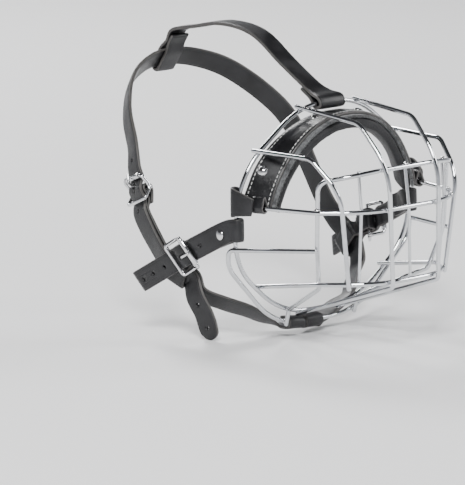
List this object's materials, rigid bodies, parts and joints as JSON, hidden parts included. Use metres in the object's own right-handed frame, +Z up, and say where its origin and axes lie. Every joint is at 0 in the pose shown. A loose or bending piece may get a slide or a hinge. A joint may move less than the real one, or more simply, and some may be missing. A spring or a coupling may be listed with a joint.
{
  "type": "basket muzzle",
  "caption": "Welded chrome wire basket muzzle for a dog, with a padded leather nose band, adjustable leather cheek, neck and head straps, and roller buckles.",
  "frame": {"origin": "centre of the rear hoop, where the snout enters the basket", "axes": "+X towards the wearer's left, +Y rearward towards the nape, +Z up; the front of the basket faces -Y"},
  "size_m": [0.1884, 0.2493, 0.1999],
  "materials": {
    "wire": "polished chrome plate over welded steel wire",
    "buckle": "polished nickel-chrome plate",
    "rivet": "polished dome",
    "leather": "black dyed leather, satin",
    "felt": "grey felt, fuzzy"
  },
  "bodies": {
    "cage": {"rear_hoop": "wire", "lower_hoop": "wire", "grille_loop": "wire", "middle_rail": "wire", "bottom_rail": "wire", "upper_wire_right": "wire", "upper_wire_left": "wire", "side_wire_right": "wire", "side_wire_left": "wire", "front_bar_right": "wire", "front_bar_centre": "wire", "front_bar_left": "wire", "pad_cover": "leather", "pad_felt": "felt", "pad_liner": "leather", "pad_fold_right": "leather", "pad_fold_left": "leather", "pad_tab_right": "leather", "pad_tab_left": "leather", "pad_rivets": "rivet", "cheek_strap_right": "leather", "cheek_strap_left": "leather", "cheek_rivets": "rivet", "slider_right": "leather", "slider_left": "leather", "neck_strap": "leather", "throat_strap": "leather", "top_strap": "leather", "nape_rivet": "rivet"},
    "cheek_frame_right_body": {"cheek_frame_right": "buckle"},
    "cheek_roller_right_body": {"cheek_roller_right": "buckle"},
    "cheek_prong_right_body": {"cheek_prong_right": "buckle"},
    "cheek_frame_left_body": {"cheek_frame_left": "buckle"},
    "cheek_roller_left_body": {"cheek_roller_left": "buckle"},
    "cheek_prong_left_body": {"cheek_prong_left": "buckle"},
    "neck_frame_body": {"neck_frame": "buckle"},
    "neck_roller_body": {"neck_roller": "buckle"},
    "neck_prong_body": {"neck_prong": "buckle"}
  },
  "joints": [
    {"name": "cheek_frame_right_rock", "type": "hinge", "parent": "cage", "child": "cheek_frame_right_body", "pos_m": [-0.08274, 0.04375, -0.02614], "axis": [0.336, -0.4348, -0.8355], "range_deg": [-2, 2]},
    {"name": "cheek_roller_right_spin", "type": "hinge", "parent": "cheek_frame_right_body", "child": "cheek_roller_right_body", "pos_m": [-0.08866, 0.03532, -0.02413], "axis": [0.336, -0.4348, -0.8355], "continuous": true},
    {"name": "cheek_prong_right_lift", "type": "hinge", "parent": "cheek_frame_right_body", "child": "cheek_prong_right_body", "pos_m": [-0.08274, 0.04375, -0.02614], "axis": [0.336, -0.4348, -0.8355], "range_deg": [0, 30]},
    {"name": "cheek_frame_left_rock", "type": "hinge", "parent": "cage", "child": "cheek_frame_left_body", "pos_m": [0.08274, 0.04375, -0.02614], "axis": [0.336, 0.4348, 0.8355], "range_deg": [-2, 2]},
    {"name": "cheek_roller_left_spin", "type": "hinge", "parent": "cheek_frame_left_body", "child": "cheek_roller_left_body", "pos_m": [0.08866, 0.03532, -0.02413], "axis": [0.336, 0.4348, 0.8355], "continuous": true},
    {"name": "cheek_prong_left_lift", "type": "hinge", "parent": "cheek_frame_left_body", "child": "cheek_prong_left_body", "pos_m": [0.08274, 0.04375, -0.02614], "axis": [0.336, 0.4348, 0.8355], "range_deg": [0, 30]},
    {"name": "neck_frame_rock", "type": "hinge", "parent": "cage", "child": "neck_frame_body", "pos_m": [-0.0738, 0.09719, 0.00814], "axis": [-0.1555, -0.9228, 0.3525], "range_deg": [-2, 2]},
    {"name": "neck_roller_spin", "type": "hinge", "parent": "neck_frame_body", "child": "neck_roller_body", "pos_m": [-0.07896, 0.1012, 0.01635], "axis": [-0.1555, -0.9228, 0.3525], "continuous": true},
    {"name": "neck_prong_lift", "type": "hinge", "parent": "neck_frame_body", "child": "neck_prong_body", "pos_m": [-0.0738, 0.09719, 0.00814], "axis": [-0.1555, -0.9228, 0.3525], "range_deg": [0, 30]}
  ]
}
